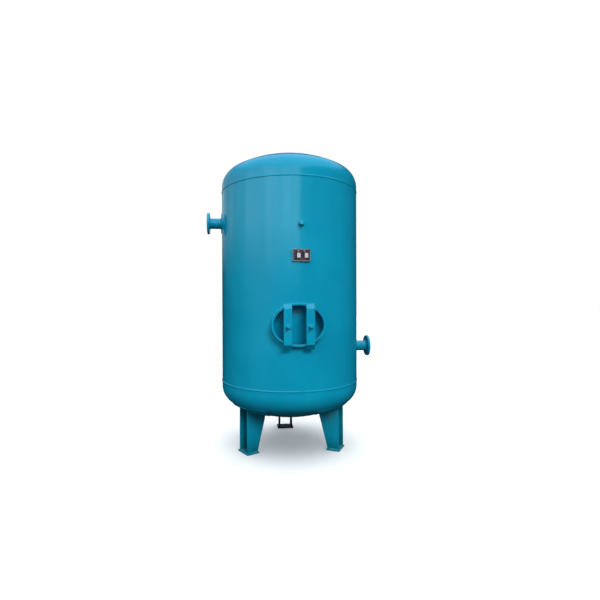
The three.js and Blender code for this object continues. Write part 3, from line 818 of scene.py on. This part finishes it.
def hexagon_piece(flats, low, high, place, bore=0.0, both_ends=True):
    """A nut or a plug's head: a hexagon with turned chamfers, bored right through if `bore` is given."""
    circle = flats / 2 * CHAMFER_SHARE
    slope = math.tan(math.radians(30))
    drop = (flats / math.sqrt(3) - circle) * slope
    levels = [low + drop * k / 5 for k in range(6)] + [high - drop * (5 - k) / 5 for k in range(6)]
    sections = []
    for turn in turns(144):
        turn += math.pi / 144 - math.pi / 6
        direction = unit(turn)
        section = [direction * bore + lift(low)]
        for z in levels:
            from_end = min(z - low, high - z) if both_ends else high - z
            radius = min(hexagon_radius(turn, flats), circle + from_end / slope)
            section.append(direction * radius + lift(z))
        section.append(direction * bore + lift(high))
        sections.append([place @ point for point in section])
    return swept(sections)


def make_manway():
    add_solid("manway_ring", oval_ring("manway_ring", RING_EDGE), PART_PAINT)
    half_width = RING_WIDTH / 2 + WELD_LIFT
    half_height = RING_HEIGHT / 2 + WELD_LIFT
    weld_on_shell("manway_weld", "front", MANWAY.z, 0, half_width, half_height, WELD_LIFT,
                  MANWAY_WELD, 23, 420)
    add_solid("cover_gasket", oval_ring("cover_gasket", GASKET_EDGE), RUBBER, "cover")
    add_solid("cover_plate", oval_plate("cover_plate", COVER_EDGE), COVER_PAINT, "cover")


def make_clamp(side):
    """A stud on the cover, and the yoke, washer and nut on it."""
    stud, yoke, washer, nut = (f"{part}_{side}" for part in ("stud", "yoke", "washer", "nut"))
    place = facing_front(middle(stud))
    low, high = front_reach(stud)
    thread_from = front_reach(yoke)[1] - THREAD_BEHIND_YOKE
    rod = threaded_rod(STUD_RADIUS, STUD_PITCH, low, high, thread_from, place)
    foot_weld = turned([(radius, low + height) for radius, height in STUD_FOOT_WELD], FINE, place)
    add_solid(stud, merged(rod, foot_weld), PART_PAINT, "cover", smooth_angle=30)
    refined(yoke, YOKE_EDGE, PART_PAINT, yoke)
    disc = ring(STUD_RADIUS + 0.001, WASHER_RADIUS, *front_reach(washer), WASHER_EDGE, place)
    add_solid(washer, disc, PART_PAINT, yoke)
    solid = hexagon_piece(size_of(nut).z, *front_reach(nut), place, bore=STUD_RADIUS + GAP)
    add_solid(nut, solid, PART_PAINT, nut, smooth_angle=24)


make_manway()
for clamp_side in ("left", "right"):
    make_clamp(clamp_side)


# ---- Ports ----

def thread_profile(radius, pitch, low, high):
    """Rounded ring grooves, a plug's thread, as (radius, z) from `low` to `high`."""
    levels = spaced(low, high, int((high - low) / pitch * 6))
    return [(radius - 0.5 * pitch * abs(math.sin(math.pi * i / 6)), z) for i, z in enumerate(levels)]


def make_port(name, place, bore, shank, flats_share):
    """Coupling, sealing ring and plug. `place` puts the port's +Z out of the tank."""
    inverse = place.inverted()
    coupling, seal, plug = (f"{name}_{part}" for part in ("coupling", "seal", "plug"))

    def reach(node):
        ends = [(inverse @ Vector(corner)).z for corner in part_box(node)]
        return min(ends), max(ends)

    coupling_radius = max(size_of(coupling)) / 2
    add_solid(coupling, ring(bore, coupling_radius, *reach(coupling), COUPLING_EDGE, place), PART_PAINT)
    low, high = reach(seal)
    radius = max(size_of(seal)) / 2
    add_solid(seal, ring(bore + GAP, radius, low, high, FINE_EDGE, place), COPPER, seal)
    under = high + GAP
    top = under + COLLAR
    ease = 0.001
    body = [(0, under - shank)]
    body += thread_profile(bore - 2 * GAP, PLUG_PITCH, under - shank, under - ease)
    body += [(bore - 0.002, under), (radius - ease, under), (radius, under + ease), (radius, top - ease),
             (radius - ease, top), (0, top)]
    head = hexagon_piece(radius * flats_share, top - 0.0005, reach(plug)[1], place, both_ends=False)
    add_solid(plug, merged(turned(body, FINE, place), head), PART_PAINT, plug, smooth_angle=24)
    return coupling_radius


def weld_round_pole(name, radius, place, seed):
    up = place.to_3x3() @ lift(1)
    add_bead(name, [(place @ (unit(turn) * radius), up) for turn in turns(96)], POLE_WELD, seed)


gauge_radius = make_port("gauge", facing_front(GAUGE), SMALL_PORT_BORE, SMALL_SHANK, SMALL_HEX)
weld_on_shell("gauge_weld", "front", GAUGE.z, GAUGE.x - AXIS.x, gauge_radius, gauge_radius, WELD_LIFT,
              GAUGE_WELD, 29, 96)
safety_radius = make_port("safety", at_axis(), LARGE_PORT_BORE, LARGE_SHANK, LARGE_HEX)
weld_round_pole("safety_weld", safety_radius, at_axis(TOP_POLE + POLE_LIFT), 31)
drain_radius = make_port("drain", at_axis() @ FLIPPED, SMALL_PORT_BORE, SMALL_SHANK, SMALL_HEX)
weld_round_pole("drain_weld", drain_radius, at_axis(BOTTOM_POLE - POLE_LIFT) @ FLIPPED, 37)


# ---- Nameplate: a printed aluminium plate with blank fields, riveted to a bracket ----

def rounded_rectangle(width, height, corner, steps=6):
    points = []
    for quarter, (sx, sy) in enumerate(((1, 1), (-1, 1), (-1, -1), (1, -1))):
        centre = Vector((sx * (width / 2 - corner), sy * (height / 2 - corner), 0))
        for k in range(steps + 1):
            points.append(centre + unit(math.pi / 2 * (quarter + k / steps)) * corner)
    return points


PLATE_BACK, PLATE_FRONT = front_reach("nameplate")
PLATE_CORNER = 0.009
PLATE_BORDER = 0.0080
INK_DEPTH = 0.0002  # every printed field starts this far inside the plate
FIELD_LEVEL = 0.0002
PRINT_LEVEL = 0.0004
RULE_LEVEL = 0.0006
PANEL = (0.030, 0.042)
TITLE_BLOCK = (0.014, 0.006)
RULE = (0.025, 0.0009)
LINE = (0.022, 0.0013)


def make_print(name, x, y, size, corner, ink, level=PRINT_LEVEL):
    """A printed field `level` above the nameplate's face, placed from its middle."""
    place = facing_front(PLATE) @ Matrix.Translation((x, y, PLATE_FRONT))
    outline = [point - lift(INK_DEPTH) for point in rounded_rectangle(*size, corner)]
    solid = placed(prism(outline, INK_DEPTH + level), place)
    add_solid(name, solid, ink, replaces=())


def make_rivet(node):
    low, high = front_reach(node)
    radius = size_of(node).x / 2
    angles = [step * math.pi / 16 for step in range(8)]
    dome = [(radius * math.cos(angle), low + (high - low) * math.sin(angle)) for angle in angles]
    solid = turned([(0, low)] + dome + [(0, high)], 32, facing_front(middle(node)))
    add_solid(node, solid, RIVET, smooth_angle=60)


def make_nameplate():
    outline = rounded_rectangle(PLATE_WIDTH, PLATE_HEIGHT, PLATE_CORNER)
    plate = prism([point + lift(PLATE_BACK) for point in outline], PLATE_FRONT - PLATE_BACK)
    add_solid("nameplate", placed(plate, facing_front(PLATE)), ALUMINIUM)
    refined("nameplate_bracket", BRACKET_EDGE, PART_PAINT, segments=2)
    field = (PLATE_WIDTH - 2 * PLATE_BORDER, PLATE_HEIGHT - 2 * PLATE_BORDER)
    make_print("nameplate_field", 0, 0, field, 0.004, BLACK_INK, FIELD_LEVEL)
    for label, x in (("left", -0.024), ("right", 0.045)):
        make_print(f"nameplate_panel_{label}", x, -0.003, PANEL, 0.002, WHITE_INK)
        for row in range(4):
            y = 0.010 - 0.0095 * row
            make_print(f"nameplate_rule_{label}_{row}", x, y, RULE, 0.0004, BLACK_INK, RULE_LEVEL)
    for block in range(4):
        ink = RED_INK if block % 2 else WHITE_INK
        x = -0.028 + 0.027 * block
        make_print(f"nameplate_title_{block}", x, 0.0355, TITLE_BLOCK, 0.001, ink)
    make_print("nameplate_mark", -0.061, 0.028, (0.015, 0.015), 0.0074, RED_INK)
    make_print("nameplate_bar", 0.013, -0.036, (0.052, 0.006), 0.001, RED_INK)
    for row in range(4):
        make_print(f"nameplate_line_{row}", -0.061, 0.008 - 0.011 * row, LINE, 0.0005, ALUMINIUM)
    for node in ("rivet_top_left", "rivet_top_right", "rivet_bottom_left", "rivet_bottom_right"):
        make_rivet(node)


make_nameplate()


# ---- Legs ----

def under_head(angle, reach, side, offset):
    """A point `offset` below the head, `reach` from the axis and `side` from a leg's middle."""
    point = Vector((AXIS.x, AXIS.y, 0)) + heading(angle) * reach + heading(angle + 90) * side
    point.z = BOTTOM_SEAM - head_height(math.hypot(reach, side), offset)
    return point


def make_leg_pad(name, angle):
    """A plate pressed to the head, as two grids of points joined round their rim."""
    rows, columns = 24, 20
    points = []
    for offset, inset in ((GAP, 0.0), (GAP + PAD_THICKNESS, PAD_EASE)):
        half = LEG_PAD_WIDTH / 2 - inset
        points += [under_head(angle, reach, side, offset)
                   for reach in spaced(LEG_PAD_INNER + inset, LEG_PAD_OUTER - inset, rows)
                   for side in spaced(-half, half, columns)]
    width = columns + 1
    total = len(points) // 2
    corners = [layer + i * width + j for layer in (0, total) for i in range(rows) for j in range(columns)]
    faces = [(a, a + 1, a + 1 + width, a + width) for a in corners]
    rim = list(range(columns)) + [i * width + columns for i in range(rows)]
    rim += [rows * width + columns - j for j in range(columns)] + [(rows - i) * width for i in range(rows)]
    for here, there in zip(rim, rim[1:] + rim[:1]):
        faces.append((here, there, there + total, here + total))
    add_solid(name, (points, faces), LEG_PAINT)


def weld_leg_pad(name, angle):
    """A weld all round the pad's edge."""
    half = LEG_PAD_WIDTH / 2
    corners = [(LEG_PAD_INNER, -half), (LEG_PAD_OUTER, -half), (LEG_PAD_OUTER, half), (LEG_PAD_INNER, half)]
    path = []
    for here, there in zip(corners, corners[1:] + corners[:1]):
        places = zip(spaced(here[0], there[0], 60), spaced(here[1], there[1], 60))
        path += [(under_head(angle, reach, side, WELD_LIFT), -lift(1)) for reach, side in places][:-1]
    add_bead(name, path, LEG_PAD_WELD, 41 + angle)


def make_gusset(node, angle, spread, base_top, finish):
    """One upright plate of a leg, welded on both its faces to the pad above and the base below."""
    refined(node, GUSSET_EDGE, finish, segments=2)
    across = heading(angle + 90)
    ground = Vector((AXIS.x, AXIS.y, base_top + 0.0005))
    for face in (-1, 1):
        side = spread + face * GUSSET_THICKNESS / 2
        lean = (across * face - lift(1)).normalized()
        path = [(under_head(angle, reach, side, PAD_THICKNESS + WELD_LIFT), lean)
                for reach in spaced(*GUSSET_TOP, 80)]
        add_bead(f"{node}_top_weld_{face + 1}", path, GUSSET_TOP_WELD, 50 + face, finish, closed=False)
        lean = (across * face + lift(1)).normalized()
        path = [(ground + heading(angle) * reach + across * side, lean) for reach in spaced(*GUSSET_FOOT, 40)]
        add_bead(f"{node}_base_weld_{face + 1}", path, GUSSET_FOOT_WELD, 60 + face, finish, closed=False)


def make_leg(label, angle):
    # The rear leg, under the tank, takes near-black painted shade in place of the leg paint
    finish = REAR_LEG_SHADE if label == "rear" else LEG_PAINT
    base = f"leg_{label}_base"
    make_leg_pad(f"leg_{label}_pad", angle)
    refined(base, BASE_EDGE, finish)
    weld_leg_pad(f"leg_{label}_pad_weld", angle)
    for sign, letter in ((-1, "a"), (1, "b")):
        node = f"leg_{label}_gusset_{letter}"
        make_gusset(node, angle, GUSSET_SPREAD * sign, high_corner(base).z, finish)


for leg_label, leg_angle in LEG_ANGLES.items():
    make_leg(leg_label, leg_angle)


# ---- Lifting lugs ----

for lug in ("lifting_lug_left", "lifting_lug_right"):
    refined(lug, LUG_EDGE, PART_PAINT, segments=2)


# ---- Floor, light and camera ----

FLOOR_REACH = 40
FLOOR_PALE = (0.86, 0.86, 0.86)
FLOOR_DARKER = (0.8471, 0.8471, 0.8471)


def floor_finish(name):
    tree = Tree(name)
    roughness = tree.remap(tree.noise(30.0, 4.0), 0.3, 0.7, 0.7, 0.8)
    shade = tree.remap(tree.noise(0.8, 3.0), 0.3, 0.7)
    return tree.finish(tree.mix(shade, FLOOR_PALE, FLOOR_DARKER), roughness)


floor_mesh = bpy.data.meshes.new("floor")
floor_corners = [(x * FLOOR_REACH, y * FLOOR_REACH, 0) for x, y in ((-1, -1), (1, -1), (1, 1), (-1, 1))]
floor_mesh.from_pydata(floor_corners, [], [(0, 1, 2, 3)])
floor_mesh.materials.append(floor_finish("floor_pale"))
floor = bpy.data.objects.new("floor", floor_mesh)
bpy.context.scene.collection.objects.link(floor)

CAMERA_DISTANCE = 4.248  # from the tank's axis
CAMERA_HEIGHT = 1.477
CAMERA_AZIMUTH = -6.3
SENSOR = 36.0
FOCAL_SHARE = 0.662  # focal length as a share of the frame's width
SHIFT_X = 0.0177
SHIFT_Y = 0.0051
ROLL = -0.003


def around(azimuth, distance, height):
    """A place round the tank's axis."""
    return Vector((AXIS.x, AXIS.y, height)) + heading(azimuth) * distance


def look_at(obj, place, target_height):
    """Stand an object at a place and turn it to a height on the tank's axis."""
    obj.location = place
    obj.rotation_euler = (Vector((AXIS.x, AXIS.y, target_height)) - place).to_track_quat("-Z", "Y").to_euler()


camera_data = bpy.data.cameras.new("camera")
camera = bpy.data.objects.new("camera", camera_data)
bpy.context.scene.collection.objects.link(camera)
camera_data.sensor_width = SENSOR
camera_data.lens = SENSOR * FOCAL_SHARE
camera_data.shift_x = SHIFT_X
camera_data.shift_y = SHIFT_Y
camera_data.clip_end = 200
look_at(camera, around(CAMERA_AZIMUTH, CAMERA_DISTANCE, CAMERA_HEIGHT), CAMERA_HEIGHT)
camera.rotation_euler.rotate_axis("Z", ROLL)
bpy.context.scene.camera = camera


def add_light(name, kind, energy, place, target_height):
    data = bpy.data.lights.new(name, kind)
    data.energy = energy
    obj = bpy.data.objects.new(name, data)
    bpy.context.scene.collection.objects.link(obj)
    look_at(obj, place, target_height)
    obj.visible_glossy = False
    return obj


def sun_light(name, azimuth, elevation, softness, strength):
    rise = math.radians(elevation)
    obj = add_light(name, "SUN", strength, around(azimuth, 8 * math.cos(rise), 8 * math.sin(rise)), 0)
    obj.data.angle = math.radians(softness)
    return obj


TANK_SUNS = (
    sun_light("key", 15, 36, 22, 1.88),
    sun_light("left_fill", -55, 22, 60, 0.75),
    sun_light("back_fill", 165, 30, 60, 1.1),
    sun_light("overhead", 0, 89, 70, 0.90),
)
front_top = add_light("front_top", "AREA", 15, around(6, 3.8, 3.4), 2.2)
front_top.data.shape = "RECTANGLE"
front_top.data.size = 2.4
front_top.data.size_y = 1.4
front_top.visible_camera = False

# The floor is lit by itself, so that it stays pale and keeps only a faint shadow.
floor.visible_diffuse = False
floor.visible_glossy = False
floor_only = bpy.data.collections.new("floor_only")
floor_only.objects.link(floor)
for name, strength, casts_shadow in (("floor_light", 0.55, True), ("floor_fill", 3.0, False)):
    floor_light = sun_light(name, 0, 89, 90, strength)
    floor_light.data.use_shadow = casts_shadow
    floor_light.light_linking.receiver_collection = floor_only
all_but_floor = bpy.data.collections.new("all_but_floor")
all_but_floor.objects.link(floor)
all_but_floor.collection_objects[0].light_linking.link_state = "EXCLUDE"
for sun in TANK_SUNS:
    sun.light_linking.receiver_collection = all_but_floor


# ---- World: white behind, a soft sky for light, and a bright side to mirror in the paint ----

SKY_TINT = (0.80, 0.92, 1.0)
SKY_STRENGTH = 0.62
GROUND_STRENGTH = 0.16
WHITE = (1.0, 1.0, 1.0)
GLOSS_LOW_TINT = (0.60, 0.88, 1.0)
GLOSS_HIGH_TINT = (0.24, 0.40, 0.66)
GLOSS_STRENGTH = 2.1
GLOSS_DARK = 0.01
GLOSS_EDGE_AZIMUTH = 11  # the bright side ends here, and lies to the left of it
GLOSS_BACK_AZIMUTH = 172  # middle of a dimmer strip behind the tank


class WorldTree(Tree):
    """The same short calls on the world's node tree."""

    def __init__(self, world):
        world.use_nodes = True
        self.nodes = world.node_tree.nodes
        self.links = world.node_tree.links
        self.place = self.nodes.new("ShaderNodeTexCoord").outputs["Generated"]

    def towards(self, direction):
        """How far the ray points in a direction, from -1 to 1."""
        return self.dot(self.place, direction)

    def background(self, colour, strength):
        node = self.nodes.new("ShaderNodeBackground")
        return self.wire(node, "Background", {"Color": colour, "Strength": strength})

    def choose(self, ray, otherwise, chosen):
        """`chosen` for rays of a kind, `otherwise` for the rest."""
        path = self.nodes.new("ShaderNodeLightPath")
        blend = self.nodes.new("ShaderNodeMixShader")
        return self.wire(blend, "Shader", {"Fac": path.outputs[ray], 1: otherwise, 2: chosen})


def build_world():
    """White to the camera, a soft sky to matt surfaces, and a bright side that the paint mirrors."""
    world = bpy.data.worlds.new("studio")
    bpy.context.scene.world = world
    tree = WorldTree(world)
    height = tree.towards((0, 0, 1))
    light = tree.remap(height, -0.25, 0.45, GROUND_STRENGTH, SKY_STRENGTH)
    edge = heading(GLOSS_EDGE_AZIMUTH)
    left_of_edge = tree.remap(tree.towards(Vector((edge.y, -edge.x, 0))), -0.012, 0.012)
    near_edge = tree.remap(tree.towards(edge + Vector((0, 0, 0.45))), -0.35, 0.95, 0.32, 1.0)
    above = tree.remap(height, 0.07, 0.22)
    clouds = tree.remap(tree.noise(4.5, 4.0, 0.6, stretch=(1.0, 1.0, 0.55)), 0.34, 0.62, 0.50, 1.30)
    above = tree.math("MULTIPLY", above, clouds)
    gloss = tree.math("MULTIPLY", tree.math("MULTIPLY", left_of_edge, near_edge), above)
    zenith = tree.remap(height, 0.58, 0.70, 0.0, 0.8)
    back_window = tree.remap(tree.towards(heading(GLOSS_BACK_AZIMUTH)), 0.950, 0.985, 0.0, 0.25)
    gloss = tree.math("MAXIMUM", gloss, tree.math("MAXIMUM", zenith, back_window))
    gloss = tree.remap(gloss, 0.0, 1.0, GLOSS_DARK, GLOSS_STRENGTH)
    tint = tree.mix(tree.remap(height, 0.2, 0.6), GLOSS_LOW_TINT, GLOSS_HIGH_TINT)
    shader = tree.choose("Is Glossy Ray", tree.background(SKY_TINT, light), tree.background(tint, gloss))
    shader = tree.choose("Is Camera Ray", shader, tree.background(WHITE, 1.0))
    tree.links.new(shader, tree.nodes["World Output"].inputs["Surface"])


build_world()

bpy.context.scene.view_settings.view_transform = "Standard"

bpy.context.view_layer.update()
